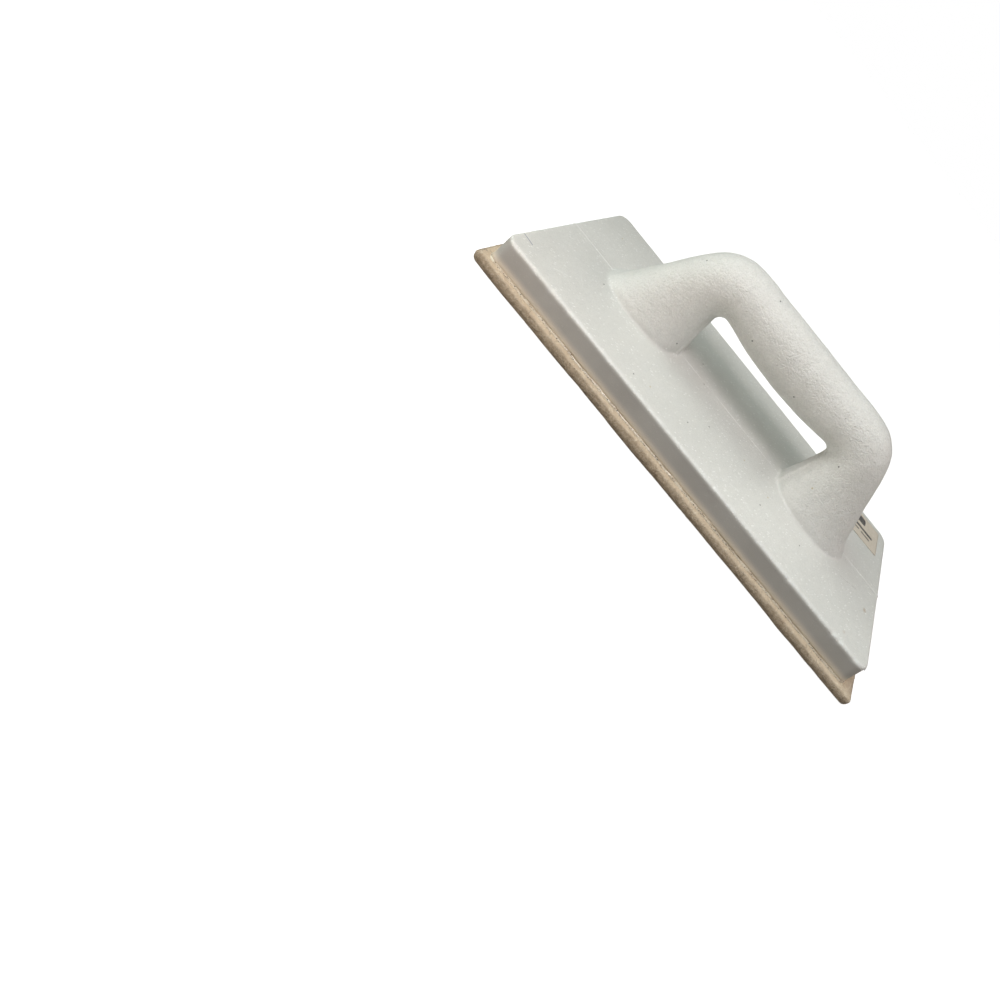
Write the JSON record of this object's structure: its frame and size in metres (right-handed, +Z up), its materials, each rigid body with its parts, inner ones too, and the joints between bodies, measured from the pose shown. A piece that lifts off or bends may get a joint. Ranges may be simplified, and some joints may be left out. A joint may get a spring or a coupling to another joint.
{
  "type": "felt-faced hand float",
  "caption": "Rectangular plasterer's hand float: white rigid-foam blade moulded in one with a D handle, wool felt pad bonded under it.",
  "frame": {"origin": "centre of the felt pad's underside, on the surface the float rests on", "axes": "+X along the float's length, +Y across it, +Z up through the handle"},
  "size_m": [0.282, 0.14, 0.0757],
  "materials": {
    "wool_felt": "matte pressed wool felt, beige with dark stray hairs",
    "contact_glue": "satin amber glue line",
    "rigid_foam": "satin white moulded polyurethane foam skin, finely pebbled",
    "label_paper": "matte aged paper",
    "label_ink": "matte dark print"
  },
  "bodies": {
    "root": {"felt_pad": "wool_felt", "bond_layer": "contact_glue", "float_body": "rigid_foam", "paper_label": "label_paper", "label_print": "label_ink"}
  },
  "joints": []
}
